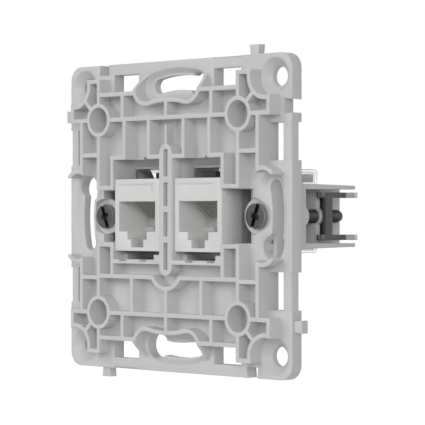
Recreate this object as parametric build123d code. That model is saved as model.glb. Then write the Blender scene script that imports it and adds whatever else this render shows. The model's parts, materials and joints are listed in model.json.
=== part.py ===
"""Flush-mounting insert for two RJ45 network sockets.

A ribbed plastic support frame carries two socket modules side by side. Each module has a
front housing with the plug port, eight spring contacts on a carrier, a small circuit board,
a block with eight cable clamps (insulation-displacement blades) and a clear dust cover.
Left and right, a long screw draws a steel spreader claw forward inside a guide that is
moulded onto the back of the frame. The claw's flap is tapped for the screw.

Row frame: X to the right seen from the front, Z up, +Y into the wall. The origin is the
centre of the frame in the plane of the wall. Sketches are drawn in front view (X, Z), and
"height" is measured from the wall towards the room, so height h lies at Y = -h.
Millimetres throughout.
"""

import os
from math import atan, cos, degrees, pi, radians, sin, sqrt

from build123d import *

# Support frame: overall sizes
frame_width = 70.8
frame_corner_r = 3.4
rim_height = 3.05
rib_height = 6.4
rib_t = 0.95
web_t = 1.55

# Support frame: rim openings, edge bars and corner screws
bar_inner = 32.9
opening_near = 12.1
opening_far = 20.35
bar_relief = 1.0
bar_bevel = 0.45
corner_hole_pitch = 60.8
corner_hole_r = 2.2
corner_sink_r = 4.1
corner_floor = 1.3
well_r = 4.3

# Support frame: arc slots for the box screws
slot_r = 30.4
slot_half_width = 1.7
slot_half_angle = 12.0
slot_floor = 1.9
key_r = 2.95
recess_r = 30.25
recess_half_width = 3.45
recess_half_angle = 12.6
recess_floor_half_width = 2.3
slope_run = 0.6

# Support frame: rib grid
boss_pitch = 44.7
boss_r = 3.9
boss_bore_r = 3.0
boss_floor = 1.2
outer_line = 28.2
side_rib = 14.25
corner_line = 31.4
corner_line_end = 25.9
top_rib_inner = 5.6
top_rib_outer = 13.6
bottom_rib = 11.15
bay_line = 13.85
claw_rib = 6.6
pill_r = 2.0
pill_top = 14.3
pill_bottom = -11.4
pill_slot = 1.3
pill_slots = ((9.0, 15.1), (2.3, 7.6), (-4.55, 0.9), (-12.1, -6.0))
crescent_r = 5.0
ridge_height = 3.8

# Support frame: windows and the bays behind them
window_inner = 2.15
window_top = 13.05
window_bottom = -9.9
collar_back = 0.7
claw_window_outer = 23.9
claw_window_half = 6.0
shelf_bottom = 11.0
shelf_t = 0.45
bay_depth = 9.6
corner_step_width = 1.3
corner_step_top = -8.65
top_nick_width = 1.2
top_nick_depth = 0.5
sill_nicks = (7.4, 14.15)
sill_nick_width = 2.3
sill_nick_depth = 0.45

# Support frame: link tabs and notches on the four edges
tab_offset = 23.75
tab_reach = 2.2
tab_tip = 2.8
tab_root = 2.3
tab_t = 1.9
tab_back = 0.5
notch_clearance = 0.3
notch_depth = 2.4

# Socket module
module_width = 14.6
module_clearance = 0.15
housing_top = 8.55
housing_bottom = -7.95
housing_recess = 0.5
flange_depth = 6.5
housing_depth = 12.5
housing_side_step = 0.75
port_width = 11.9
port_top = 3.4
port_bottom = -3.5
port_depth = 9.8
key1_width = 6.4
key1_bottom = -5.3
key1_depth = 8.0
key2_width = 4.1
key2_bottom = -7.1
key2_depth = 5.2

# Spring contacts and their carrier
contacts = 8
contact_pitch = 1.016
wire_r = 0.22
wire_bend_r = 0.45
wire_front = 1.9
wire_run = 5.3
wire_tip_depth = 7.9
wire_tip_z = -0.4
wire_slope = 0.745
carrier_width = 9.4
carrier_top = 6.9
carrier_front = 1.2
carrier_wall = 0.8
seat_clearance = 0.1

# Circuit board, clamp block, clamp blades and dust cover
board_t = 1.2
board_top = 10.2
board_bottom = -7.7
block_depth = 17.7
block_top = 9.7
block_bottom = -7.6
block_base = 4.5
tower_width = 4.6
blade_pitch = 4.2
blade_slot = 1.0
blade_slot_depth = 9.0
blade_t = 0.5
blade_width = 3.2
blade_length = 7.6
blade_gap = 0.45
blade_fork = 5.4
blade_sink = 1.2
blade_clearance = 0.05
cover_top = 10.85
cover_bottom = -8.5
cover_wall = 0.6
cover_corner_r = 1.4
cover_back_gap = 1.4

# Claw guide at the back of the frame
screw_x = 24.1
guide_outer = 28.0
guide_wall = 1.0
guide_inner = 20.5
arm_inner_z = 6.0
arm_root_z = 7.4
arm_tip_z = 6.95
arm_length = 26.6
arm_taper = 0.1
guide_side_length = 9.75
guide_bump_r = 2.3
guide_back_length = 28.8
bridge_front = 16.7
bridge_t = 1.2
bridge_edge = 25.0
bridge_boss_r = 2.05
pad_r = 4.1
pad_height = 1.5
gusset_notch = 5.6
gusset_foot = 9.0
outer_gusset_z = 10.2
outer_gusset_depth = 3.6
outer_gusset_foot = 7.0

# Claw screw and claw
screw_r = 1.5
screw_clearance = 0.12
thread_clearance = 0.04
screw_length = 27.0
screw_chamfer = 0.5
head_r = 2.8
head_t = 0.85
head_edge = 0.35
cross_arm = 0.85
cross_length = 3.9
cross_depth = 0.6
cross_turn = 20
claw_t = 0.9
claw_x = 26.9
claw_bar_z = 5.4
claw_bar_width = 1.25
claw_front = 16.1
claw_joggle = 0.7
claw_joggle_depth = 0.6
claw_joggle_run = 0.5
cross_front = 17.3
cross_back = 19.5
claw_bar_back = 22.9
prong_waist_x = 25.9
prong_waist_depth = 25.5
prong_tip_x = 28.7
prong_tip_depth = 25.9
flap_inner_x = 22.0
flap_half_height = 4.5

# Derived places
module_x = window_inner + 0.35 + module_width / 2
window_outer = module_x + module_width / 2 + module_clearance
bay_wall = window_outer + rib_t / 2
wire_span = (contacts - 1) * contact_pitch
housing_front = rib_height - housing_recess
board_front = housing_front - housing_depth
block_front = board_front - board_t
block_back = block_front - block_depth
blade_back = block_back + blade_sink
cover_back = block_back - cover_back_gap
cover_front = housing_front - flange_depth
half = frame_width / 2
boss = boss_pitch / 2
well = corner_hole_pitch / 2
head_seat = pad_height


def to_row(shape):
    """Turns front-view sketch axes (X, Z, height) into the row frame."""
    return Rot(90, 0, 0) * shape


def box(x0, x1, z0, z1, h0, h1):
    """A block given by its limits in front view and its heights."""
    size = (abs(x1 - x0), abs(z1 - z0), abs(h1 - h0))
    return Pos((x0 + x1) / 2, (z0 + z1) / 2, (h0 + h1) / 2) * Box(*size)


def prism(sketch, h0, h1):
    """A front-view sketch carried from height h0 to height h1."""
    return extrude(Pos(0, 0, h0) * sketch, amount=h1 - h0, dir=(0, 0, 1))


def bar(x0, z0, x1, z1, thickness=rib_t):
    """A straight rib seen from the front, with square ends past its end points."""
    length = sqrt((x1 - x0) ** 2 + (z1 - z0) ** 2) + thickness
    angle = 90 if x1 == x0 else degrees(atan((z1 - z0) / (x1 - x0)))
    centre = Pos((x0 + x1) / 2, (z0 + z1) / 2)
    return centre * Rot(0, 0, angle) * Rectangle(length, thickness)


def rect(x0, x1, z0, z1):
    """A front-view rectangle given by its limits."""
    return Pos((x0 + x1) / 2, (z0 + z1) / 2) * Rectangle(abs(x1 - x0), abs(z1 - z0))


def disc(x, z, radius):
    """A front-view circle."""
    return Pos(x, z) * Circle(radius)


def arc_slot(radius, half_width, half_angle):
    """A curved slot round the origin, centred on the top of the frame."""
    path = CenterArc((0, 0), radius, 90 - half_angle, 2 * half_angle)
    return SlotArc(path, 2 * half_width)


def quarters(sketch):
    """Four copies of a sketch, a quarter turn apart."""
    turned = [Rot(0, 0, 90 * k) * sketch for k in range(4)]
    return turned[0] + turned[1:]


def both_sides(sketch):
    """A sketch and its mirror image about the vertical axis."""
    return sketch + mirror(sketch, about=Plane.YZ)


def corner_ribs():
    """Ribs of the upper right corner: the boss, the two corner cells and the screw well."""
    cells = (
        disc(boss, boss, boss_r)
        + bar(boss, boss, corner_line, boss)
        + bar(boss, boss, boss, corner_line)
        + bar(corner_line, boss, corner_line, corner_line_end)
        + bar(boss, corner_line, corner_line_end, corner_line)
    )
    reach = well - (well_r + rib_t / 2) * cos(pi / 4)
    cells += bar(boss, boss, reach, reach)
    wall = disc(well, well, well_r + rib_t) - disc(well, well, well_r)
    edge = corner_line + rib_t / 2
    return cells + (wall & rect(boss, edge, boss, edge))


def edge_ribs():
    """Ribs along the upper edge: the outer line beside the slot and its two cross ribs."""
    start = recess_r * sin(radians(recess_half_angle)) + recess_half_width
    right = bar(start, outer_line, boss, outer_line) + bar(side_rib, boss, side_rib, outer_line)
    return both_sides(right)


def slot_wall():
    """The raised wall round the upper slot."""
    outline = arc_slot(recess_r, recess_half_width + rib_t, recess_half_angle)
    return outline & rect(-half, half, 0, bar_inner)


def slot_recess():
    """The recesses round the slots: upright down to the rim's face, then sloping in."""
    mouth = arc_slot(recess_r, recess_half_width, recess_half_angle)
    drop = rim_height - slot_floor
    slope = degrees(atan((recess_half_width - recess_floor_half_width) / drop))
    sunk = extrude(Pos(0, 0, rim_height) * mouth, amount=-drop, taper=slope)
    turned = [Rot(0, 0, 90 * k) * sunk for k in range(4)]
    return [prism(quarters(mouth), rim_height, rib_height), *turned]


def wall_slopes():
    """What is taken off the upper and lower slot walls, which fall away towards the edge."""
    start = outer_line + rib_t / 2
    reach = recess_r * sin(radians(recess_half_angle)) + recess_half_width + 2 * rib_t
    profile = make_face(
        Polyline(
            (start, rib_height),
            (half, rib_height),
            (half, rim_height),
            (bar_inner - slope_run, rim_height),
            close=True,
        )
    )
    cut = extrude(Plane.YZ * profile, amount=reach, both=True)
    return [cut, mirror(cut, about=Plane.XZ)]


def bay_ribs():
    """Ribs round the two windows and in the cells above and below them."""
    right = (
        bar(window_inner, window_top + rib_t / 2, top_rib_inner, window_top + rib_t / 2)
        + bar(top_rib_outer, window_top + rib_t / 2, bay_wall, window_top + rib_t / 2)
        + bar(top_rib_inner, window_top + rib_t / 2, top_rib_inner, boss)
        + bar(top_rib_outer, window_top + rib_t / 2, top_rib_outer, boss)
        + bar(bay_wall, claw_rib, bay_wall, window_top + rib_t / 2)
        + bar(bay_wall, -claw_rib, bay_wall, -bay_line)
        + bar(bay_wall, claw_rib, boss, claw_rib)
        + bar(bay_wall, -claw_rib, boss, -claw_rib)
        + bar(bottom_rib, -bay_line, bottom_rib, -boss)
        + bar(boss, claw_rib, boss, boss)
        + bar(boss, -claw_rib, boss, -boss)
        + bar(0, window_bottom - rib_t / 2, bay_wall, window_bottom - rib_t / 2)
        + bar(0, -bay_line, boss, -bay_line)
        + bar(0, boss, boss, boss)
        + bar(0, -boss, boss, -boss)
    )
    ribs = both_sides(right) - disc(0, pill_bottom, crescent_r + rib_t / 2)
    crescent = disc(0, pill_bottom, crescent_r + rib_t / 2)
    crescent -= disc(0, pill_bottom, crescent_r - rib_t / 2)
    crescent -= rect(-half, half, -bay_line + rib_t / 2, half)
    ribs += crescent
    ribs += rect(-bay_wall, bay_wall, window_bottom - rib_t, window_bottom)
    ribs += bar(0, pill_bottom - crescent_r, 0, -recess_r + recess_half_width)
    ribs += bar(0, boss, 0, recess_r - recess_half_width - rib_t / 2)
    pill = Pos(0, (pill_top + pill_bottom) / 2) * Rot(0, 0, 90)
    return ribs + pill * SlotCenterToCenter(pill_top - pill_bottom, 2 * pill_r)


def bay_window():
    """The right-hand window: stepped lower corners and small nicks above and below."""
    step_inner = window_inner + corner_step_width
    step_outer = window_outer - corner_step_width
    window = rect(window_inner, window_outer, corner_step_top, window_top)
    window += rect(step_inner, step_outer, window_bottom, corner_step_top)
    half_nick = top_nick_width / 2
    window += rect(module_x - half_nick, module_x + half_nick, window_top, window_top + top_nick_depth)
    return window


def sill_cuts():
    """Shallow nicks in the front edge of the sill under each window."""
    low = window_bottom - sill_nick_depth
    half_nick = sill_nick_width / 2
    nicks = [rect(x - half_nick, x + half_nick, low, window_bottom) for x in sill_nicks]
    return both_sides(nicks[0] + nicks[1:])


def edge_openings():
    """The eight openings between the rib grid and the bars along the edges."""
    near = outer_line + rib_t / 2
    return quarters(both_sides(rect(opening_near, opening_far, near, bar_inner)))


def edge_tab():
    """The link tab on the upper edge, flared towards its tip."""
    base = half - 0.5
    outline = Polyline(
        (tab_offset - tab_root / 2, base),
        (tab_offset - tab_root / 2, half),
        (tab_offset - tab_tip / 2, half + tab_reach),
        (tab_offset + tab_tip / 2, half + tab_reach),
        (tab_offset + tab_root / 2, half),
        (tab_offset + tab_root / 2, base),
        close=True,
    )
    return make_face(outline)


def edge_notch():
    """The notch on the upper edge that takes a neighbour's tab."""
    mouth = tab_root / 2 + notch_clearance
    floor = tab_tip / 2 + notch_clearance
    outline = Polyline(
        (-tab_offset - mouth, half),
        (-tab_offset - floor, half - notch_depth),
        (-tab_offset + floor, half - notch_depth),
        (-tab_offset + mouth, half),
        close=True,
    )
    return make_face(outline)


def bevelled_bar():
    """What is taken off the right edge between the openings: a bevel and a relief behind."""
    profile = make_face(
        Polyline(
            (half - bar_bevel, rim_height),
            (half, rim_height - 1.5 * bar_bevel),
            (half + 1, rim_height - 1.5 * bar_bevel),
            (half + 1, rim_height + 1),
            (half - bar_bevel, rim_height + 1),
            close=True,
        )
    )
    bevel = extrude(Plane.XZ * profile, amount=(opening_far - opening_near) / 2, both=True)
    relief = box(bar_inner, half + 1, -opening_far / 2, opening_far / 2, 0, bar_relief)
    relief &= Box(2 * frame_width, opening_far - opening_near, frame_width)
    cut = bevel + relief
    middle = (opening_near + opening_far) / 2
    return Pos(0, middle, 0) * cut


def guide():
    """The claw guide behind the right edge: two arms, side walls and the screw bridge."""
    arm = make_face(
        Polyline(
            (0, arm_inner_z),
            (0, arm_root_z),
            (-arm_length, arm_tip_z),
            (-arm_length, arm_inner_z + arm_taper),
            close=True,
        )
    )
    arm = Pos(window_outer, 0, 0) * extrude(Plane.ZY * arm, amount=-(guide_outer - window_outer))
    arms = arm + mirror(arm, about=Plane.XZ)
    into_arm = arm_inner_z + arm_taper + 0.3
    inner = rect(guide_inner, guide_inner + guide_wall, -into_arm, into_arm)
    inner = prism(inner, -guide_back_length, 0)
    outer = rect(guide_outer - guide_wall, guide_outer, -into_arm, into_arm)
    outer = prism(outer, -guide_side_length, 0)
    bump = Pos(guide_outer - guide_wall / 2, 0, -guide_side_length + 1.2) * Rot(0, 90, 0)
    bump *= Cylinder(guide_bump_r, guide_wall)
    bridge = rect(guide_inner, bridge_edge, -into_arm, into_arm) + disc(screw_x, 0, bridge_boss_r)
    bridge = prism(bridge, -bridge_front - bridge_t, -bridge_front)
    return arms + inner + outer + bump + bridge + gusset()


def gusset():
    """Webs that close the socket bay's side and stiffen the guide's arms on both sides."""
    upper = make_face(
        Polyline(
            (0, arm_inner_z),
            (0, window_top),
            (-bay_depth, window_top),
            (-bay_depth, shelf_bottom),
            (-gusset_notch, shelf_bottom),
            (-gusset_foot, arm_inner_z),
            close=True,
        )
    )
    upper = Pos(window_outer, 0, 0) * extrude(Plane.ZY * upper, amount=-guide_wall)
    lower = box(window_outer, window_outer + guide_wall, window_bottom - rib_t, -arm_inner_z, -bay_depth, 0)
    outer = make_face(
        Polyline(
            (0, arm_inner_z),
            (0, outer_gusset_z),
            (-outer_gusset_depth, outer_gusset_z),
            (-outer_gusset_foot, arm_root_z - 0.4),
            (-outer_gusset_foot, arm_inner_z + arm_taper + 0.3),
            close=True,
        )
    )
    outer = extrude(Plane.ZY * outer, amount=-guide_wall)
    outer = Pos(guide_outer - guide_wall, 0, 0) * outer
    return upper + lower + outer + mirror(outer, about=Plane.XZ)


def support_frame():
    """The moulded frame: rim, rib grid, windows, slots, pads and both claw guides."""
    rim = RectangleRounded(frame_width, frame_width, frame_corner_r)
    rim = rim - edge_openings() - quarters(edge_notch())
    body = prism(rim, 0, rim_height)

    ribs = quarters(corner_ribs()) + quarters(edge_ribs()) + bay_ribs()
    walls = slot_wall()
    side_wall = Rot(0, 0, -90) * walls & rect(outer_line - rib_t / 2, half, -half, half)
    side_wall -= rect(outer_line - rib_t, half, -9, 9)
    ribs += walls + Rot(0, 0, 180) * walls + both_sides(side_wall)
    ribs -= edge_openings()
    body += prism(ribs, rim_height, rib_height)
    body += prism(rect(-0.4, 0.4, pill_top, boss), rim_height, ridge_height)
    body -= wall_slopes()

    tabs = quarters(edge_tab())
    body += prism(tabs, tab_back, tab_back + tab_t)

    right_bars = bevelled_bar()
    sides = [right_bars, mirror(right_bars, about=Plane.XZ)]
    sides += [mirror(s, about=Plane.YZ) for s in sides]
    sides += [Rot(0, 0, 90) * sides[1], Rot(0, 0, -90) * sides[1]]
    body -= sides

    core = rect(-outer_line, outer_line, -outer_line, outer_line)
    core -= quarters(disc(boss, boss, boss_r))
    core -= quarters(arc_slot(recess_r, recess_half_width + 1.4, recess_half_angle))
    core -= quarters(bar(0, boss, boss, boss, 1.2)) + quarters(bar(boss, 0, boss, boss, 1.2))
    core -= both_sides(rect(0, bay_wall + rib_t / 2, window_bottom - rib_t, window_top + rib_t))
    core -= both_sides(rect(bay_wall, outer_line, -arm_root_z, arm_root_z))
    core -= rect(-pill_r, pill_r, pill_bottom - pill_r, pill_top + pill_r)
    core &= rect(-outer_line + rib_t, outer_line - rib_t, -outer_line + rib_t, outer_line - rib_t)
    body -= prism(core, 0, rim_height - web_t)

    collar = both_sides(rect(0, bay_wall + rib_t / 2, window_bottom - rib_t, window_top + rib_t))
    body += prism(collar, -collar_back, rim_height)
    body += box(-pill_r + 0.6, pill_r - 0.6, window_bottom, window_top, -bay_depth, 0)
    shelf = both_sides(rect(0, window_outer, shelf_bottom, shelf_bottom + shelf_t))
    sill = both_sides(rect(0, window_outer, window_bottom - rib_t, window_bottom))

    right_guide = guide()
    body += [right_guide, mirror(right_guide, about=Plane.YZ)]

    body -= prism(both_sides(bay_window()), -collar_back, rib_height)
    body += prism(shelf + sill, -bay_depth, -collar_back)
    claw_window = rect(bay_wall - rib_t / 2, claw_window_outer, -claw_window_half, claw_window_half)
    body -= prism(both_sides(claw_window), 0, rib_height)
    doorway = rect(window_outer - rib_t, bay_wall + rib_t, -claw_window_half, claw_window_half)
    body -= prism(both_sides(doorway), -collar_back, rib_height)

    body -= slot_recess()
    body -= prism(both_sides(disc(screw_x, 0, pad_r)), pad_height, rib_height)
    body += prism(both_sides(disc(screw_x, 0, pad_r)), 0, pad_height)

    keyhole = arc_slot(slot_r, slot_half_width, slot_half_angle)
    key_angle = radians(recess_half_angle)
    keyhole += disc(recess_r * sin(key_angle), recess_r * cos(key_angle), key_r)
    body -= prism(quarters(keyhole), 0, rim_height)

    body -= prism(sill_cuts(), rim_height, rib_height)
    for slot_low, slot_high in pill_slots:
        body -= prism(rect(-pill_slot / 2, pill_slot / 2, slot_low, slot_high), pad_height, rib_height)

    body -= prism(quarters(disc(boss, boss, boss_bore_r)), boss_floor, rib_height)
    body -= prism(quarters(disc(well, well, well_r)), rim_height, rib_height)
    sink = Pos(0, 0, (rim_height + corner_floor) / 2)
    sink *= Cone(corner_hole_r, corner_sink_r, rim_height - corner_floor)
    hole = Pos(0, 0, corner_floor / 2) * Cylinder(corner_hole_r, corner_floor)
    body -= [Pos(sx * well, sz * well, 0) * (sink + hole) for sx in (-1, 1) for sz in (-1, 1)]

    screw_hole = disc(screw_x, 0, screw_r + screw_clearance)
    body -= prism(both_sides(screw_hole), -bridge_front - bridge_t, pad_height)
    return to_row(body)


def socket_housing():
    """The front shell of a socket module, with the stepped plug port."""
    side = module_width / 2
    shell = box(-side, side, housing_bottom, housing_top, cover_front, housing_front)
    rear_side = side - housing_side_step
    rear_bottom = cover_bottom + cover_wall + module_clearance
    shell += box(-rear_side, rear_side, rear_bottom, housing_top, board_front, cover_front)
    port = rect(-port_width / 2, port_width / 2, port_bottom, port_top)
    port = prism(port, housing_front - port_depth, housing_front)
    key1 = rect(-key1_width / 2, key1_width / 2, key1_bottom, port_bottom)
    key1 = prism(key1, housing_front - key1_depth, housing_front)
    key2 = rect(-key2_width / 2, key2_width / 2, key2_bottom, key1_bottom)
    key2 = prism(key2, housing_front - key2_depth, housing_front)
    nest_half = carrier_width / 2 + seat_clearance
    nest_top = carrier_top + seat_clearance
    nest = box(-nest_half, nest_half, port_top, nest_top, board_front, housing_front - carrier_front)
    line = box(-side + 1.4, side - 3.0, 7.1, 7.25, housing_front - 0.15, housing_front)
    shell = shell - port - key1 - key2 - nest - line
    return shell


def wire_path(x):
    """One spring contact: back along the carrier, round its nose and down into the port."""
    front = housing_front - wire_front
    tip = housing_front - wire_tip_depth
    nose_z = wire_tip_z + wire_slope * (wire_tip_depth - wire_front)
    points = [
        (x, wire_run, board_front),
        (x, wire_run, front),
        (x, nose_z, front),
        (x, wire_tip_z, tip),
    ]
    return FilletPolyline(*points, radius=wire_bend_r)


def contact_wires():
    """Eight spring contacts, side by side."""
    wires = []
    for k in range(contacts):
        path = wire_path(-wire_span / 2 + k * contact_pitch)
        section = Plane(path @ 0, z_dir=path % 0) * Circle(wire_r)
        wires.append(sweep(section, path=path))
    return wires


def contact_carrier():
    """The insert that holds the contacts and guides them with a comb of thin ribs."""
    w = carrier_width / 2
    nose = housing_front - wire_front - wire_r - carrier_wall
    front = housing_front - carrier_front - seat_clearance
    body = box(-w, w, port_top + 1.0, carrier_top, board_front, front)
    notch_top = wire_run + wire_r + 0.35
    body -= box(-w, w, port_top + 1.0, notch_top, nose + carrier_wall - 0.35, housing_front)
    for k in range(contacts):
        x = -wire_span / 2 + k * contact_pitch
        groove = wire_r + 0.03
        body -= box(x - groove, x + groove, port_top, wire_run + groove, board_front, housing_front)
    return body


def circuit_board():
    """The board between the port and the cable clamps."""
    side = module_width / 2 - housing_side_step
    board = box(-side, side, board_bottom, board_top, block_front, board_front)
    return board


def clamp_block():
    """The rear block: a base and two towers with slots for the cable cores."""
    side = module_width / 2 - housing_side_step
    block = box(-side, side, block_bottom, block_top, block_front - block_base, block_front)
    for s in (-1, 1):
        tower = box(s * (side - tower_width), s * side, block_bottom, block_top, block_back, block_front)
        block += tower
    for s in (-1, 1):
        for z in clamp_rows():
            slot = rect(s * (side - tower_width), s * side, z - blade_slot / 2, z + blade_slot / 2)
            block -= prism(slot, block_back, block_back + blade_slot_depth)
            block -= blade_pocket(s, z)
    return block


def clamp_rows():
    """Heights of the four clamp slots in a tower."""
    middle = (block_top + block_bottom) / 2
    return [middle + (k - 1.5) * blade_pitch for k in range(4)]


def blade_pocket(s, z):
    """The slit in the tower that holds one blade."""
    x = s * (module_width / 2 - housing_side_step - tower_width / 2)
    t = blade_t / 2 + blade_clearance
    w = blade_width / 2 + blade_clearance
    return box(x - t, x + t, z - w, z + w, block_back, blade_back + blade_length)


def clamp_blades():
    """Eight forked metal blades that cut into the cable cores."""
    blades = []
    for s in (-1, 1):
        x = s * (module_width / 2 - housing_side_step - tower_width / 2)
        for z in clamp_rows():
            blade = rect(x - blade_t / 2, x + blade_t / 2, z - blade_width / 2, z + blade_width / 2)
            blade = prism(blade, blade_back, blade_back + blade_length)
            fork = rect(x - blade_t, x + blade_t, z - blade_gap / 2, z + blade_gap / 2)
            blades.append(blade - prism(fork, blade_back, blade_back + blade_fork))
    return blades


def dust_cover():
    """The clear cap over the rear of a module, open towards the front."""
    side = module_width / 2
    outer = box(-side, side, cover_bottom, cover_top, cover_back, cover_front)
    outer = fillet(outer.faces().sort_by(Axis.Z)[0].edges(), cover_corner_r)
    inner_side = side - cover_wall
    inner = rect(-inner_side, inner_side, cover_bottom + cover_wall, cover_top - cover_wall)
    inner = prism(inner, cover_back + cover_wall, cover_front)
    inner = fillet(inner.faces().sort_by(Axis.Z)[0].edges(), cover_corner_r - cover_wall)
    return outer - inner


def claw_screw():
    """The claw screw of the right side: a flat head with a cross recess on a long shank."""
    head = Pos(screw_x, 0, head_seat + head_t / 2) * Cylinder(head_r, head_t)
    head = chamfer(head.edges().group_by(Axis.Z)[-1], head_edge)
    shank = Pos(screw_x, 0, head_seat - screw_length / 2) * Cylinder(screw_r, screw_length)
    shank = chamfer(shank.edges().group_by(Axis.Z)[0], screw_chamfer)
    top = head_seat + head_t
    cross = Rectangle(cross_length, cross_arm) + Rectangle(cross_arm, cross_length)
    cross = prism(cross, top - cross_depth, top)
    return head + shank - Pos(screw_x, 0, 0) * Rot(0, 0, cross_turn) * cross


def claw():
    """The steel claw: an H-shaped plate with two hooked prongs and a flap on the screw."""
    path = Polyline(
        (claw_x - claw_joggle, -claw_front),
        (claw_x - claw_joggle, -claw_front - claw_joggle_depth),
        (claw_x, -claw_front - claw_joggle_depth - claw_joggle_run),
        (claw_x, -claw_bar_back),
        (prong_waist_x, -prong_waist_depth),
        (prong_tip_x, -prong_tip_depth),
    )
    strip = offset(path, claw_t / 2, kind=Kind.INTERSECTION)
    strip = make_face(strip)
    plate = extrude(Plane.XZ * strip, amount=claw_bar_z, both=True)
    top = claw_x + claw_t
    gap = claw_bar_z - claw_bar_width
    plate -= box(claw_x - 2 * claw_t, top, -gap, gap, 0, -cross_front)
    plate -= box(prong_waist_x - claw_t, prong_tip_x + claw_t, -gap, gap, -cross_back, -2 * cross_back)
    flap_front = cross_back - claw_t
    flap = box(flap_inner_x, claw_x, -flap_half_height, flap_half_height, -cross_back, -flap_front)
    flap -= prism(disc(screw_x, 0, screw_r + thread_clearance), -cross_back, -flap_front)
    return plate + flap


def side_copy(shape, side):
    """The right-hand piece itself, or its mirror image on the left."""
    return shape if side == "right" else mirror(shape, about=Plane.YZ)


def main():
    os.makedirs("parts", exist_ok=True)
    export_step(support_frame(), "parts/support_frame.step")
    module = {
        "socket_housing": socket_housing(),
        "contact_carrier": contact_carrier(),
        "circuit_board": circuit_board(),
        "clamp_block": clamp_block(),
        "dust_cover": dust_cover(),
    }
    module |= {f"contact_wire_{k + 1}": wire for k, wire in enumerate(contact_wires())}
    module |= {f"clamp_blade_{k + 1}": blade for k, blade in enumerate(clamp_blades())}
    claw_set = {"claw_screw": claw_screw(), "spreader_claw": claw()}
    for side, sign in (("left", -1), ("right", 1)):
        for name, shape in module.items():
            placed = to_row(Pos(sign * module_x, 0, 0) * shape)
            export_step(placed, f"parts/{name}_{side}.step")
        for name, shape in claw_set.items():
            export_step(to_row(side_copy(shape, side)), f"parts/{name}_{side}.step")


main()
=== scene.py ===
"""Looks of the flush-mounting network socket insert, laid out as a Blender add-on.

Metres throughout, in the frame's own axes: X to the right seen from the front, Z up and
+Y into the wall. The sizes and colours that a user would change are in the property groups.
"""

import json
from math import pi, radians

import bmesh
import bpy
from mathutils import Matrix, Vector

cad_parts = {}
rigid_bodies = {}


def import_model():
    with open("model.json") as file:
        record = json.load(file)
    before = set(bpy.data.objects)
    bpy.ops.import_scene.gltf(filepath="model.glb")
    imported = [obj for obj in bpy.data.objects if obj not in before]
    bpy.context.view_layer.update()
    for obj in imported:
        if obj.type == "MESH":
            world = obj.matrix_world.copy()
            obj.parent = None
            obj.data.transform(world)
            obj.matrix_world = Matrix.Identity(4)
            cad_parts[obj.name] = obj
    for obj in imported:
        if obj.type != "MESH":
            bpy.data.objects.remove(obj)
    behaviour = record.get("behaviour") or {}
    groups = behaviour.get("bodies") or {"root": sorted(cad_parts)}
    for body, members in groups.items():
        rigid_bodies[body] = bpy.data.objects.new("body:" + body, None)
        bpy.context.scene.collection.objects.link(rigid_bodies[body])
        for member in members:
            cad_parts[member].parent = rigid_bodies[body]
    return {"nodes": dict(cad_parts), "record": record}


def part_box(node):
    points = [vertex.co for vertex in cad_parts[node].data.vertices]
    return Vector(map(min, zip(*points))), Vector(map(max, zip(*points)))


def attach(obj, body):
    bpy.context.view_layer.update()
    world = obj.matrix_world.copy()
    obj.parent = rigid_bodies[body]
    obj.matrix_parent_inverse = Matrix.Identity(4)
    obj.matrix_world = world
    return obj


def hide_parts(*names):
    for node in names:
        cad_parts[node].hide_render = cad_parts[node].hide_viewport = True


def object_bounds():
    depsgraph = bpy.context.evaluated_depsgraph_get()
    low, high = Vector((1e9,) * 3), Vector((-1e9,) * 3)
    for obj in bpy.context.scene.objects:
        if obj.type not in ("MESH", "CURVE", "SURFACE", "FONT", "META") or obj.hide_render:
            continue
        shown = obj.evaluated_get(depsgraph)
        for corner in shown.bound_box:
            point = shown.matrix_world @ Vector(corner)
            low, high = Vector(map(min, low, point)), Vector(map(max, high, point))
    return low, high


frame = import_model()

bl_info = {
    "name": "Network Socket Insert",
    "version": (1, 0, 0),
    "blender": (4, 5, 0),
    "location": "View3D > Sidebar > Socket Insert",
    "description": "Finishes and small pieces of a flush-mounting network socket insert",
    "category": "Object",
}

NODES = frame["nodes"]
BODIES = frame["record"]["behaviour"]["bodies"]
BODY_OF_NODE = {node: body for body, names in BODIES.items() for node in names}
START_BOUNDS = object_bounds()
SIDES = ("left", "right")
WHITE = (1, 1, 1, 1)
MM = 0.001

# Corners nearer to each other than the first distance are one, and nearer to a face than the
# second lie on it
MERGE_DISTANCE = 0.002 * MM
FACE_REACH = 0.01 * MM

# In degrees: edges sharper than the first are rounded, and flatter than the second are shaded smooth
ROUNDED_ANGLE = 40
SMOOTH_ANGLE = 35

# Detail of the noises behind a material's relief and colour, and the part of it that colours
GRAIN_DETAIL = 3.0
MOTTLE_DETAIL = 4.0
MOTTLE_LOW = 0.3
MOTTLE_HIGH = 0.7

# Inputs and output of a Mix node for colours, by number
MIX_SHARE = 0
MIX_BASE = 6
MIX_TOP = 7
MIX_RESULT = 2

# The camera's place, turn and opening, fitted to the photograph
CAMERA_PLACE = (0.32615, -0.32669, 0.0)
CAMERA_TURN = 44.186
PHOTO_SIDE = 425
FOCAL_PIXELS = 2027.1
HORIZON_ROW = 216.3
SENSOR_WIDTH = 36.0

# The claw screws' places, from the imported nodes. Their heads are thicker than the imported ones
SCREW_LOW, SCREW_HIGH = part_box("claw_screw_right")
SCREW_X = (SCREW_LOW[0] + SCREW_HIGH[0]) / 2
HEAD_RISE = 0.35 * MM
HEAD_FRONT = SCREW_LOW[1] - HEAD_RISE
HEAD_RADIUS = 2.85 * MM
SCREW_TIP = SCREW_HIGH[1]


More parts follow.
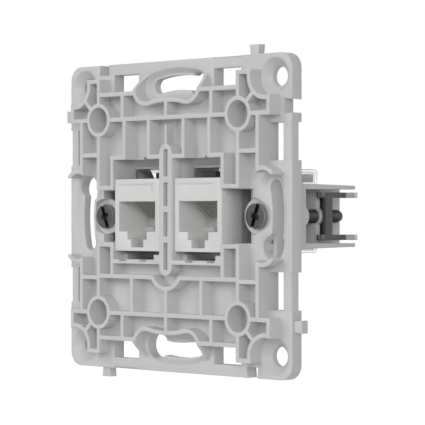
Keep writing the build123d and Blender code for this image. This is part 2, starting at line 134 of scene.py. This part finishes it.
class InsertColours(bpy.types.PropertyGroup):
    """Colours of the finishes."""

    frame_grey: bpy.props.FloatVectorProperty(
        name="Frame", description="Satin plastic of the support frame",
        subtype="COLOR", size=4, default=(0.50, 0.50, 0.502, 1.0),
    )
    socket_white: bpy.props.FloatVectorProperty(
        name="Socket", description="Near-white plastic of the socket housings",
        subtype="COLOR", size=4, default=(0.58, 0.58, 0.573, 1.0),
    )
    block_grey: bpy.props.FloatVectorProperty(
        name="Clamp block", description="Plastic of the cable clamp blocks",
        subtype="COLOR", size=4, default=(0.52, 0.52, 0.525, 1.0),
    )
    contact_gold: bpy.props.FloatVectorProperty(
        name="Contacts", description="Thin gold plating of the spring contacts",
        subtype="COLOR", size=4, default=(0.52, 0.49, 0.41, 1.0),
    )
    blade_tin: bpy.props.FloatVectorProperty(
        name="Clamp blades", description="Bright tin plating of the clamp blades",
        subtype="COLOR", size=4, default=(0.60, 0.58, 0.55, 1.0),
    )
    board_green: bpy.props.FloatVectorProperty(
        name="Board", description="Dull solder mask of the circuit boards",
        subtype="COLOR", size=4, default=(0.18, 0.20, 0.18, 1.0),
    )
    screw_grey: bpy.props.FloatVectorProperty(
        name="Screws", description="Dark passivated steel of the claw screws",
        subtype="COLOR", size=4, default=(0.058, 0.058, 0.06, 1.0),
    )
    # Painted shade: near-black colour deep in the screws' slots and cross, standing in for their
    # shade
    screw_recess_shade: bpy.props.FloatVectorProperty(
        name="Screw recess", description="Black oxide deep in the screws' slots",
        subtype="COLOR", size=4, default=(0.004, 0.004, 0.004, 1.0),
    )
    # Painted highlight: a lighter colour round the screws' heads, where their sides catch the light
    screw_rim_highlight: bpy.props.FloatVectorProperty(
        name="Screw rim", description="Worn steel round the screws' heads",
        subtype="COLOR", size=4, default=(0.26, 0.26, 0.262, 1.0),
    )
    claw_grey: bpy.props.FloatVectorProperty(
        name="Claws", description="Dark zinc coat of the spreader claws",
        subtype="COLOR", size=4, default=(0.062, 0.062, 0.064, 1.0),
    )
    # Painted highlight: a light colour on the prongs' tips, which face the light
    claw_tip_highlight: bpy.props.FloatVectorProperty(
        name="Claw tips", description="Bare sheared steel of the prongs' tips",
        subtype="COLOR", size=4, default=(0.50, 0.50, 0.50, 1.0),
    )
    cover_clear: bpy.props.FloatVectorProperty(
        name="Covers", description="Clear plastic of the dust covers",
        subtype="COLOR", size=4, default=(0.36, 0.365, 0.37, 1.0),
    )


class InsertSizes(bpy.types.PropertyGroup):
    """Sizes of the small edges and details."""

    frame_edge: bpy.props.FloatProperty(
        name="Frame edge", description="Rounding of the frame's moulded edges",
        subtype="DISTANCE", unit="LENGTH", default=0.12 * MM, min=0.01 * MM, max=0.5 * MM,
    )
    socket_edge: bpy.props.FloatProperty(
        name="Socket edge", description="Rounding of the socket and clamp block edges",
        subtype="DISTANCE", unit="LENGTH", default=0.08 * MM, min=0.01 * MM, max=0.5 * MM,
    )
    cover_edge: bpy.props.FloatProperty(
        name="Cover edge", description="Rounding of the clear covers' edges",
        subtype="DISTANCE", unit="LENGTH", default=0.35 * MM, min=0.01 * MM, max=0.5 * MM,
    )
    sheet_edge: bpy.props.FloatProperty(
        name="Sheet edge", description="Rounding of the claws' sheared edges",
        subtype="DISTANCE", unit="LENGTH", default=0.07 * MM, min=0.01 * MM, max=0.3 * MM,
    )
    thread_pitch: bpy.props.FloatProperty(
        name="Thread pitch", description="Advance of the claw screws' thread in one turn",
        subtype="DISTANCE", unit="LENGTH", default=0.5 * MM, min=0.3 * MM, max=1.0 * MM,
    )
    thread_depth: bpy.props.FloatProperty(
        name="Thread depth", description="Depth of the claw screws' thread",
        subtype="DISTANCE", unit="LENGTH", default=0.27 * MM, min=0.1 * MM, max=0.5 * MM,
    )


def group(name):
    """A property group of the scene."""
    return getattr(bpy.context.scene, name)


def deselect():
    """Nothing stays selected, so that an operator acts on its own piece alone."""
    for obj in bpy.context.view_layer.objects:
        obj.select_set(False)


def pick(obj):
    """One piece is selected and active."""
    deselect()
    obj.select_set(True)
    bpy.context.view_layer.objects.active = obj


def apply_modifier(obj, kind, **settings):
    """A modifier with these settings, applied at once."""
    pick(obj)
    mod = obj.modifiers.new(kind.lower(), kind)
    for name, value in settings.items():
        setattr(mod, name, value)
    bpy.ops.object.modifier_apply(modifier=mod.name)


def merge(obj):
    """Joins a mesh's loose corners."""
    pick(obj)
    bpy.ops.object.mode_set(mode="EDIT")
    bpy.ops.mesh.select_all(action="SELECT")
    bpy.ops.mesh.remove_doubles(threshold=MERGE_DISTANCE)
    bpy.ops.object.mode_set(mode="OBJECT")


def smooth(obj, angle=SMOOTH_ANGLE):
    """Smooth shading up to an angle in degrees."""
    pick(obj)
    bpy.ops.object.shade_smooth_by_angle(angle=radians(angle))


def apply_place():
    """The selected piece's place, turn and scale go into its mesh."""
    bpy.ops.object.transform_apply(location=True, rotation=True, scale=True)


def settle(obj, mat, body, node):
    """A finished piece gets its finish, its body and the node it stands in for."""
    pick(obj)
    apply_place()
    set_material(obj, mat)
    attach(obj, body)
    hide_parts(node)


def block(low, high):
    """A block between two corners."""
    bpy.ops.mesh.primitive_cube_add(size=1.0, location=[(a + b) / 2 for a, b in zip(low, high)])
    obj = bpy.context.object
    obj.scale = [b - a for a, b in zip(low, high)]
    apply_place()
    return obj


def cylinder(front, back, radius, sides):
    """A round rod along Y, between two depths."""
    bpy.ops.mesh.primitive_cylinder_add(
        vertices=sides, radius=radius, depth=back - front,
        location=(0, (front + back) / 2, 0), rotation=(pi / 2, 0, 0),
    )
    apply_place()
    return bpy.context.object


def combine(obj, operation, tool):
    """Adds a tool's shape to a piece or takes it away, and removes the tool."""
    apply_modifier(obj, "BOOLEAN", operation=operation, solver="EXACT", object=tool)
    bpy.data.objects.remove(tool)


def rounded_copy(node, name, edge, mat, added=(), taken=()):
    """A node's own shape, with small blocks added or taken away and its edges rounded."""
    obj = bpy.data.objects.new(name, NODES[node].data.copy())
    bpy.context.scene.collection.objects.link(obj)
    merge(obj)
    for corners in added:
        combine(obj, "UNION", block(*corners))
    for corners in taken:
        combine(obj, "DIFFERENCE", block(*corners))
    apply_modifier(
        obj, "BEVEL", width=edge, segments=2, limit_method="ANGLE",
        angle_limit=radians(ROUNDED_ANGLE), miter_outer="MITER_ARC", use_clamp_overlap=True,
    )
    smooth(obj)
    settle(obj, mat, BODY_OF_NODE[node], node)


def set_material(obj, mat):
    """One material all over a piece."""
    obj.data.materials.clear()
    obj.data.materials.append(mat)


def material(name, colour, roughness, metallic=0.0):
    """A new node material with its plain values set on the shader's own sockets."""
    mat = bpy.data.materials.new(name)
    mat.use_nodes = True
    shader = mat.node_tree.nodes["Principled BSDF"]
    shader.inputs["Base Color"].default_value = colour
    shader.inputs["Roughness"].default_value = roughness
    shader.inputs["Metallic"].default_value = metallic
    return mat


def object_place(tree):
    """The place on a piece, in the frame's own axes."""
    return tree.nodes.new("ShaderNodeTexCoord").outputs["Object"]


def object_depth(tree):
    """How far the place on a piece lies into the wall."""
    split = tree.nodes.new("ShaderNodeSeparateXYZ")
    tree.links.new(object_place(tree), split.inputs["Vector"])
    return split.outputs["Y"]


def ramp(tree, value, low, high):
    """0 at low and 1 at high, clamped."""
    span = tree.nodes.new("ShaderNodeMapRange")
    span.inputs["From Min"].default_value = low
    span.inputs["From Max"].default_value = high
    tree.links.new(value, span.inputs["Value"])
    return span.outputs["Result"]


def blend(tree, share, base, colour):
    """A colour laid by a share over a base, which is a colour too or a node's output."""
    mix = tree.nodes.new("ShaderNodeMix")
    mix.data_type = "RGBA"
    mix.inputs[MIX_TOP].default_value = colour
    if isinstance(base, bpy.types.NodeSocket):
        tree.links.new(base, mix.inputs[MIX_BASE])
    else:
        mix.inputs[MIX_BASE].default_value = base
    tree.links.new(share, mix.inputs[MIX_SHARE])
    return mix.outputs[MIX_RESULT]


def noise(tree, scale, detail):
    """A noise on the place on a piece."""
    cloud = tree.nodes.new("ShaderNodeTexNoise")
    cloud.inputs["Scale"].default_value = scale
    cloud.inputs["Detail"].default_value = detail
    tree.links.new(object_place(tree), cloud.inputs["Vector"])
    return cloud.outputs["Fac"]


def grain(mat, scale, strength, distance):
    """A fine relief all over a material."""
    tree = mat.node_tree
    bump = tree.nodes.new("ShaderNodeBump")
    bump.inputs["Strength"].default_value = strength
    bump.inputs["Distance"].default_value = distance
    tree.links.new(noise(tree, scale, GRAIN_DETAIL), bump.inputs["Height"])
    tree.links.new(bump.outputs["Normal"], tree.nodes["Principled BSDF"].inputs["Normal"])


def mottle(mat, colour, scale, spread):
    """A slight unevenness of a material's colour."""
    tree = mat.node_tree
    shades = tree.nodes.new("ShaderNodeValToRGB")
    low, high = shades.color_ramp.elements
    low.position = MOTTLE_LOW
    high.position = MOTTLE_HIGH
    low.color = (*(c * (1 - spread) for c in colour[:3]), 1)
    high.color = (*(min(c * (1 + spread), 1) for c in colour[:3]), 1)
    tree.links.new(noise(tree, scale, MOTTLE_DETAIL), shades.inputs["Fac"])
    tree.links.new(shades.outputs["Color"], tree.nodes["Principled BSDF"].inputs["Base Color"])


def plastic(name, colour, roughness):
    """A moulded plastic with a very fine grain."""
    mat = material(name, colour, roughness)
    mottle(mat, colour, scale=300, spread=0.012)
    grain(mat, scale=4500, strength=0.12, distance=0.02 * MM)
    return mat


def metal(name, colour, roughness, metallic):
    """A metal with faint uneven spots."""
    mat = material(name, colour, roughness, metallic)
    mottle(mat, colour, scale=900, spread=0.08)
    metal_grain(mat)
    return mat


def metal_grain(mat):
    """The relief of every metal here, finer than the plastics'."""
    grain(mat, scale=6000, strength=0.1, distance=0.01 * MM)


class SOCKET_OT_stage(bpy.types.Operator):
    """Sets up the floor, the lamps, the world and the camera"""

    bl_idname = "socket.stage"
    bl_label = "Stage"

    FLOOR_SIDE = 16.0
    FLOOR_DROP = 0.06
    FLOOR_PALE = (0.9, 0.9, 0.9, 1)
    FLOOR_GLOW = 0.5
    WORLD_LIGHT = 0.38

    def execute(self, context):
        self.floor()
        self.world(context.scene)
        self.lamp("key", place=(-0.35, -1.0, 0.5), strength=1.1, spread=45)
        self.lamp("fill", place=(0.7, -0.7, 0.2), strength=1.3, spread=30)
        self.camera(context.scene)
        context.scene.view_settings.view_transform = "Standard"
        return {"FINISHED"}

    def background_ray(self, tree):
        """1 where a ray of the camera, a gloss or a clear piece meets the background."""
        path = tree.nodes.new("ShaderNodeLightPath")
        total = path.outputs["Is Camera Ray"]
        for kind in ("Is Glossy Ray", "Is Transmission Ray"):
            larger = tree.nodes.new("ShaderNodeMath")
            larger.operation = "MAXIMUM"
            tree.links.new(total, larger.inputs[0])
            tree.links.new(path.outputs[kind], larger.inputs[1])
            total = larger.outputs[0]
        return total

    def floor(self):
        """A pale floor below the insert, which hangs free as on its wall box."""
        height = START_BOUNDS[0][2] - self.FLOOR_DROP
        bpy.ops.mesh.primitive_plane_add(size=self.FLOOR_SIDE, location=(0, 0, height))
        plane = bpy.context.object
        plane.name = "floor"
        mat = material("floor_paper", self.FLOOR_PALE, roughness=0.9)
        tree = mat.node_tree
        shader = tree.nodes["Principled BSDF"]
        shader.inputs["Specular IOR Level"].default_value = 0.0
        glow = tree.nodes.new("ShaderNodeMath")
        glow.operation = "MULTIPLY"
        glow.inputs[1].default_value = self.FLOOR_GLOW
        tree.links.new(self.background_ray(tree), glow.inputs[0])
        shader.inputs["Emission Color"].default_value = WHITE
        tree.links.new(glow.outputs[0], shader.inputs["Emission Strength"])
        set_material(plane, mat)

    def world(self, scene):
        """White where it is seen, and a soft light from all round elsewhere."""
        scene.world = bpy.data.worlds.new("studio")
        scene.world.use_nodes = True
        tree = scene.world.node_tree
        seen = tree.nodes["Background"]
        seen.inputs["Color"].default_value = WHITE
        seen.inputs["Strength"].default_value = 1.0
        light = tree.nodes.new("ShaderNodeBackground")
        light.inputs["Color"].default_value = WHITE
        light.inputs["Strength"].default_value = self.WORLD_LIGHT
        choose = tree.nodes.new("ShaderNodeMixShader")
        tree.links.new(self.background_ray(tree), choose.inputs["Fac"])
        tree.links.new(light.outputs["Background"], choose.inputs[1])
        tree.links.new(seen.outputs["Background"], choose.inputs[2])
        tree.links.new(choose.outputs["Shader"], tree.nodes["World Output"].inputs["Surface"])

    def lamp(self, name, place, strength, spread):
        """A far, soft lamp that shines from a place towards the insert, with a spread in degrees."""
        lamp = bpy.data.lights.new(name, "SUN")
        lamp.energy = strength
        lamp.angle = radians(spread)
        obj = bpy.data.objects.new(name, lamp)
        bpy.context.scene.collection.objects.link(obj)
        obj.location = place
        obj.rotation_euler = (-Vector(place)).to_track_quat("-Z", "Y").to_euler()

    def camera(self, scene):
        """The photograph's own viewpoint."""
        cam = bpy.data.cameras.new("camera")
        cam.sensor_width = SENSOR_WIDTH
        cam.lens = FOCAL_PIXELS / PHOTO_SIDE * SENSOR_WIDTH
        cam.shift_y = (HORIZON_ROW - PHOTO_SIDE / 2) / PHOTO_SIDE
        eye = bpy.data.objects.new("camera", cam)
        scene.collection.objects.link(eye)
        eye.location = CAMERA_PLACE
        eye.rotation_euler = (pi / 2, 0, radians(CAMERA_TURN))
        scene.camera = eye


class SOCKET_OT_frame_moulding(bpy.types.Operator):
    """Rounds the moulded support frame and adds its small walls, steps and rib"""

    bl_idname = "socket.frame_moulding"
    bl_label = "Frame moulding"

    # Opposite corners in millimetres: the upper and the lower rear end of the wall between the
    # bays, the upper rear ends of the outer walls, a step at the right end of each bay's sill
    # and the thin rib above the centre rib
    MIDDLE_WALL = ((-1.35, -0.3, 11.2), (1.35, 10.6, 13.8))
    MIDDLE_FOOT = ((-1.35, 9.0, -10.4), (1.35, 11.8, -7.5))
    SIDE_WALLS = (
        ((17.3, -0.3, 12.5), (18.2, 9.5, 13.8)),
        ((-18.2, -0.3, 12.5), (-17.3, 9.5, 13.8)),
    )
    SILL_STEPS = (
        ((15.7, -6.4, -10.2), (17.5, -2.0, -8.75)),
        ((-3.75, -6.4, -10.2), (-1.9, -2.0, -8.75)),
    )
    CENTRE_RIB = ((-0.28, -6.35, 16.0), (0.28, -2.5, 20.7))

    def execute(self, context):
        mat = plastic("frame_plastic", group("insert_colours").frame_grey, roughness=0.5)
        edge = group("insert_sizes").frame_edge
        blocks = (
            self.MIDDLE_WALL, self.MIDDLE_FOOT, self.CENTRE_RIB,
            *self.SIDE_WALLS, *self.SILL_STEPS,
        )
        rounded_copy(
            "support_frame", "frame_moulding", edge, mat,
            [self.scale_corners(corners) for corners in blocks],
        )
        return {"FINISHED"}

    def scale_corners(self, corners):
        """Two corners given in millimetres, in metres."""
        return [[c * MM for c in corner] for corner in corners]


class SOCKET_OT_sockets(bpy.types.Operator):
    """Rounds the socket housings and the clamp blocks, and finishes the contact carriers"""

    bl_idname = "socket.sockets"
    bl_label = "Sockets"

    # Widths are from the socket's middle, depths from its front and heights from the origin
    PORT_HALF = 5.95 * MM
    PORT_FLOOR = -3.5 * MM
    PORT_BACK = 9.8 * MM
    LATCH_HALF = 3.2 * MM
    LEDGE_START = 8.44 * MM
    LEDGE_TOP = -2.45 * MM
    KEY_WALL = 2.35 * MM
    KEY_STEP = -5.3 * MM
    KEY_FLOOR = -7.1 * MM
    KEY_BACK = 8.0 * MM

    # How far the ledges are sunk into the walls and the back, and the pocket runs on upwards
    LEDGE_ROOT = 0.3 * MM
    LEDGE_BACK = 0.4 * MM
    KEY_OVERLAP = 0.2 * MM

    def execute(self, context):
        colours = group("insert_colours")
        edge = group("insert_sizes").socket_edge
        shell = plastic("socket_plastic", colours.socket_white, roughness=0.4)
        grey = plastic("block_plastic", colours.block_grey, roughness=0.5)
        for side in SIDES:
            rounded_copy(
                f"socket_housing_{side}", f"socket_shell_{side}", edge, shell,
                self.ledges(side), self.latch_pocket(side),
            )
            rounded_copy(
                f"clamp_block_{side}", f"cable_clamp_{side}", edge, grey,
            )
            set_material(NODES[f"contact_carrier_{side}"], shell)
        return {"FINISHED"}

    def middle(self, side):
        """The middle of a socket and the depth of its front face."""
        low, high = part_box(f"socket_housing_{side}")
        return (low[0] + high[0]) / 2, low[1]

    def ledges(self, side):
        """The two stops at the back of the port's floor, sunk into its walls."""
        centre, front = self.middle(side)
        start = front + self.LEDGE_START
        back = front + self.PORT_BACK + self.LEDGE_BACK
        bottom = self.PORT_FLOOR - self.LEDGE_ROOT
        outer = self.PORT_HALF + self.LEDGE_ROOT
        spans = ((-outer, -self.LATCH_HALF), (self.LATCH_HALF, outer))
        return [
            ((centre + a, start, bottom), (centre + b, back, self.LEDGE_TOP))
            for a, b in spans
        ]

    def latch_pocket(self, side):
        """The wider pocket behind the narrow end of the latch's keyway."""
        centre, front = self.middle(side)
        return [(
            (centre - self.LATCH_HALF, front + self.KEY_WALL, self.KEY_FLOOR),
            (centre + self.LATCH_HALF, front + self.KEY_BACK, self.KEY_STEP + self.KEY_OVERLAP),
        )]


class SOCKET_OT_metalwork(bpy.types.Operator):
    """Finishes the contacts, the clamp blades and the boards"""

    bl_idname = "socket.metalwork"
    bl_label = "Contacts and boards"

    def execute(self, context):
        colours = group("insert_colours")
        gold = metal("contact_metal", colours.contact_gold, roughness=0.35, metallic=0.8)
        tin = metal("blade_metal", colours.blade_tin, roughness=0.3, metallic=1.0)
        mask = plastic("board", colours.board_green, roughness=0.35)
        finishes = {"contact_wire": gold, "clamp_blade": tin, "circuit_board": mask}
        for name, node in NODES.items():
            for start, mat in finishes.items():
                if name.startswith(start):
                    set_material(node, mat)
        return {"FINISHED"}


class SOCKET_OT_covers(bpy.types.Operator):
    """Rounds and finishes the clear dust covers"""

    bl_idname = "socket.covers"
    bl_label = "Dust covers"

    # How much of the plastic shows face on and at a grazing angle, and how fast it grows
    FACE_SHARE = 0.03
    EDGE_SHARE = 0.9
    EDGE_POWER = 3.0
    GRAZE_BLEND = 0.5

    # How many clear walls a ray may pass
    CLEAR_WALLS = 32

    def execute(self, context):
        clear = self.clear_plastic()
        edge = group("insert_sizes").cover_edge
        for side in SIDES:
            rounded_copy(f"dust_cover_{side}", f"clear_cap_{side}", edge, clear)
        context.scene.cycles.transparent_max_bounces = self.CLEAR_WALLS
        return {"FINISHED"}

    def clear_plastic(self):
        """Clear polished plastic: a glassy skin that shows most where the eye grazes it."""
        clear = material("clear_cover", group("insert_colours").cover_clear, roughness=0.08)
        tree = clear.node_tree
        graze = tree.nodes.new("ShaderNodeLayerWeight")
        graze.inputs["Blend"].default_value = self.GRAZE_BLEND
        sharpen = tree.nodes.new("ShaderNodeMath")
        sharpen.operation = "POWER"
        sharpen.inputs[1].default_value = self.EDGE_POWER
        span = tree.nodes.new("ShaderNodeMapRange")
        span.inputs["To Min"].default_value = self.FACE_SHARE
        span.inputs["To Max"].default_value = self.EDGE_SHARE
        tree.links.new(graze.outputs["Facing"], sharpen.inputs[0])
        tree.links.new(sharpen.outputs[0], span.inputs["Value"])
        tree.links.new(span.outputs["Result"], tree.nodes["Principled BSDF"].inputs["Alpha"])
        return clear


class SOCKET_OT_claw_screws(bpy.types.Operator):
    """Models the two claw screws with their slots, crosses and threads"""

    bl_idname = "socket.claw_screws"
    bl_label = "Claw screws"

    HEAD_THICK = 1.2 * MM
    HEAD_EDGE = 0.12 * MM
    HEAD_SIDES = 64

    # The slot runs right across the head, and the cross arm is short with a floor shorter still
    SLOT_LENGTH = 6.4 * MM
    SLOT_DEPTH = 0.7 * MM
    CROSS_LENGTH = 3.5 * MM
    CROSS_WIDTH = 1.1 * MM
    CROSS_DEPTH = 0.9 * MM
    CROSS_FLOOR = 0.45
    CROSS_TURN = 20

    # The painted shade of the recess starts and is full at these depths, within these shares of the
    # head's radius, and fades before the head's back
    BLACK_START = 0.1 * MM
    BLACK_FULL = 0.35 * MM
    BLACK_OUTER = 0.9
    BLACK_INNER = 0.8
    BLACK_END = 0.1 * MM

    # The painted highlight round the rim starts and is full at these distances from the head's edge
    RIM_START = 0.12 * MM
    RIM_FULL = 0.02 * MM

    # The neck starts inside the head, at a share of its thickness, and a rod's ends are
    # bevelled by a share of its radius
    SHANK_RADIUS = 1.5 * MM
    SHANK_SIDES = 32
    NECK_START = 0.93
    END_BEVEL = 0.15

    # The thread starts behind the head. A tooth's foot is sunk into the core by a share of the
    # thread's depth, and it rises, reaches its crest, leaves it and ends at shares of the pitch
    THREAD_START = 3.0 * MM
    THREAD_STEPS = 24
    TOOTH_SUNK = 0.1
    TOOTH = (0.02, 0.42, 0.54, 0.94)

    def execute(self, context):
        mat = self.screw_metal()
        for side, sign in (("left", -1), ("right", 1)):
            screw = self.head(sign)
            shank = self.shank()
            pick(screw)
            shank.select_set(True)
            bpy.ops.object.join()
            screw.name = f"threaded_screw_{side}"
            screw.location = (sign * SCREW_X, 0, 0)
            smooth(screw, angle=30)
            settle(screw, mat, f"screw_{side}", f"claw_screw_{side}")
        return {"FINISHED"}

    def screw_metal(self):
        """Dark steel, with painted shade deep in the head's recess and a painted highlight round its
        rim.
        """
        colours = group("insert_colours")
        mat = metal("screw_steel", colours.screw_grey, roughness=0.42, metallic=0.35)
        tree = mat.node_tree
        colour = tree.nodes["Principled BSDF"].inputs["Base Color"]
        base = colour.links[0].from_socket
        radius = self.axis_distance(tree)
        depth = object_depth(tree)
        back = HEAD_FRONT + self.HEAD_THICK
        deep = ramp(tree, depth, HEAD_FRONT + self.BLACK_START, HEAD_FRONT + self.BLACK_FULL)
        above = ramp(tree, depth, back, back - self.BLACK_END)
        inside = ramp(tree, radius, self.BLACK_OUTER * HEAD_RADIUS, self.BLACK_INNER * HEAD_RADIUS)
        # Painted highlight round the head's edge and side
        rim_highlight = ramp(tree, radius, HEAD_RADIUS - self.RIM_START, HEAD_RADIUS - self.RIM_FULL)
        # Painted shade: the recess is blackened where it lies deep inside the head
        shade_share = self.product(tree, deep, above, inside)
        dark = blend(tree, shade_share, base, colours.screw_recess_shade)
        tree.links.new(blend(tree, rim_highlight, dark, colours.screw_rim_highlight), colour)
        return mat

    def axis_distance(self, tree):
        """The distance from the nearer screw's axis."""
        last = object_place(tree)
        steps = (
            ("ABSOLUTE", None),
            ("SUBTRACT", (SCREW_X, 0, 0)),
            ("MULTIPLY", (1, 0, 1)),
            ("LENGTH", None),
        )
        for operation, value in steps:
            step = tree.nodes.new("ShaderNodeVectorMath")
            step.operation = operation
            tree.links.new(last, step.inputs[0])
            if value:
                step.inputs[1].default_value = value
            last = step.outputs["Value" if operation == "LENGTH" else "Vector"]
        return last

    def product(self, tree, first, *others):
        """The product of several values."""
        for other in others:
            times = tree.nodes.new("ShaderNodeMath")
            times.operation = "MULTIPLY"
            tree.links.new(first, times.inputs[0])
            tree.links.new(other, times.inputs[1])
            first = times.outputs[0]
        return first

    def head(self, sign):
        """The flat head: a short cylinder with a slot right across it and a short sunk cross."""
        head = cylinder(HEAD_FRONT, HEAD_FRONT + self.HEAD_THICK, HEAD_RADIUS, self.HEAD_SIDES)
        self.bevel_front(head)
        turn = -sign * self.CROSS_TURN
        slot = self.arm(self.SLOT_LENGTH, self.SLOT_DEPTH, turn + 90, 1.0)
        combine(head, "DIFFERENCE", slot)
        cross = self.arm(self.CROSS_LENGTH, self.CROSS_DEPTH, turn, self.CROSS_FLOOR)
        combine(head, "DIFFERENCE", cross)
        return head

    def bevel_front(self, head):
        """Bevels the front rim of a head."""
        pick(head)
        bpy.ops.object.mode_set(mode="EDIT")
        bpy.ops.mesh.select_mode(type="EDGE")
        bpy.ops.mesh.select_all(action="DESELECT")
        mesh = bmesh.from_edit_mesh(head.data)
        for edge in mesh.edges:
            edge.select = all(vert.co.y < HEAD_FRONT + FACE_REACH for vert in edge.verts)
        bmesh.update_edit_mesh(head.data)
        bpy.ops.mesh.bevel(offset=self.HEAD_EDGE, segments=4, affect="EDGES")
        bpy.ops.object.mode_set(mode="OBJECT")

    def arm(self, length, depth, turn, floor):
        """A cutter for the slot or the cross arm; floor is the floor's share of the length."""
        half = length / 2
        width = self.CROSS_WIDTH / 2
        arm = block((-half, HEAD_FRONT - depth, -width), (half, HEAD_FRONT + depth, width))
        pick(arm)
        bpy.ops.object.mode_set(mode="EDIT")
        mesh = bmesh.from_edit_mesh(arm.data)
        for vert in mesh.verts:
            if vert.co.y > HEAD_FRONT:
                vert.co.x *= floor
        bmesh.update_edit_mesh(arm.data)
        bpy.ops.object.mode_set(mode="OBJECT")
        arm.rotation_euler = (0, -radians(turn), 0)
        apply_place()
        return arm

    def shank(self):
        """The shank: a plain neck, then a thread turned from one tooth of its profile."""
        sizes = group("insert_sizes")
        pitch = sizes.thread_pitch
        depth = sizes.thread_depth
        start = HEAD_FRONT + self.HEAD_THICK + self.THREAD_START
        turns = int((SCREW_TIP - start) / pitch) - 1
        root = self.SHANK_RADIUS - depth
        inside = root - self.TOOTH_SUNK * depth
        bpy.ops.mesh.primitive_plane_add(size=1.0, location=(0, 0, 0))
        tooth = bpy.context.object
        bpy.ops.object.mode_set(mode="EDIT")
        mesh = bmesh.from_edit_mesh(tooth.data)
        radii = (inside, self.SHANK_RADIUS, self.SHANK_RADIUS, inside)
        corners = [loop.vert for loop in mesh.faces[:][0].loops]
        for corner, radius, share in zip(corners, radii, self.TOOTH):
            corner.co = (radius, start + share * pitch, 0)
        bmesh.update_edit_mesh(tooth.data)
        bpy.ops.mesh.select_all(action="SELECT")
        bpy.ops.mesh.delete(type="ONLY_FACE")
        bpy.ops.object.mode_set(mode="OBJECT")
        apply_modifier(
            tooth, "SCREW", axis="Y", angle=2 * pi, screw_offset=pitch, iterations=turns,
            steps=self.THREAD_STEPS, render_steps=self.THREAD_STEPS,
        )
        bpy.ops.object.mode_set(mode="EDIT")
        bpy.ops.mesh.select_all(action="SELECT")
        bpy.ops.mesh.fill_holes(sides=4)
        bpy.ops.mesh.normals_make_consistent(inside=False)
        bpy.ops.object.mode_set(mode="OBJECT")
        front = HEAD_FRONT + self.NECK_START * self.HEAD_THICK
        neck = self.rod(front, start + pitch / 2, self.SHANK_RADIUS)
        core = self.rod(start - pitch / 2, SCREW_TIP, root)
        pick(tooth)
        neck.select_set(True)
        core.select_set(True)
        bpy.ops.object.join()
        return tooth

    def rod(self, front, back, radius):
        """A closed round rod along Y, with both ends bevelled."""
        rod = cylinder(front, back, radius, self.SHANK_SIDES)
        apply_modifier(
            rod, "BEVEL", width=self.END_BEVEL * radius, segments=2, limit_method="ANGLE",
            angle_limit=radians(60),
        )
        return rod


class SOCKET_OT_claws(bpy.types.Operator):
    """Rounds the edges of the spreader claws and paints a highlight on their tips"""

    bl_idname = "socket.claws"
    bl_label = "Spreader claws"

    # The painted highlight's length at the tip, and the share of it where the highlight is full all
    # over
    TIP_LENGTH = 1.45 * MM
    TIP_FULL = 0.8

    def execute(self, context):
        mat = self.sheet_metal()
        edge = group("insert_sizes").sheet_edge
        for side in SIDES:
            rounded_copy(f"spreader_claw_{side}", f"steel_claw_{side}", edge, mat)
        return {"FINISHED"}

    def sheet_metal(self):
        """Dark coated sheet steel, with a painted highlight on the prongs' tips."""
        colours = group("insert_colours")
        mat = material("claw_steel", colours.claw_grey, roughness=0.45, metallic=0.15)
        tree = mat.node_tree
        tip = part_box("spreader_claw_right")[1][1]
        start = tip - self.TIP_LENGTH
        full = tip - self.TIP_FULL * self.TIP_LENGTH
        # Painted highlight along the prongs' tips, by depth into the wall
        share = ramp(tree, object_depth(tree), start, full)
        tip_highlight = blend(tree, share, colours.claw_grey, colours.claw_tip_highlight)
        tree.links.new(tip_highlight, tree.nodes["Principled BSDF"].inputs["Base Color"])
        metal_grain(mat)
        return mat


class SOCKET_PT_panel(bpy.types.Panel):
    """Lists the pieces in the sidebar"""

    bl_idname = "SOCKET_PT_panel"
    bl_label = "Socket Insert"
    bl_space_type = "VIEW_3D"
    bl_region_type = "UI"
    bl_category = "Socket Insert"

    def draw(self, context):
        for operator in OPERATORS:
            self.layout.operator(operator.bl_idname)


OPERATORS = (
    SOCKET_OT_stage,
    SOCKET_OT_frame_moulding,
    SOCKET_OT_sockets,
    SOCKET_OT_metalwork,
    SOCKET_OT_covers,
    SOCKET_OT_claw_screws,
    SOCKET_OT_claws,
)
CLASSES = (InsertColours, InsertSizes, *OPERATORS, SOCKET_PT_panel)


def register():
    for cls in CLASSES:
        bpy.utils.register_class(cls)
    bpy.types.Scene.insert_colours = bpy.props.PointerProperty(type=InsertColours)
    bpy.types.Scene.insert_sizes = bpy.props.PointerProperty(type=InsertSizes)


def unregister():
    del bpy.types.Scene.insert_sizes
    del bpy.types.Scene.insert_colours
    for cls in reversed(CLASSES):
        bpy.utils.unregister_class(cls)


def main():
    register()
    for operator in OPERATORS:
        deselect()
        space, name = operator.bl_idname.split(".")
        getattr(getattr(bpy.ops, space), name)()


if __name__ == "__main__":
    main()
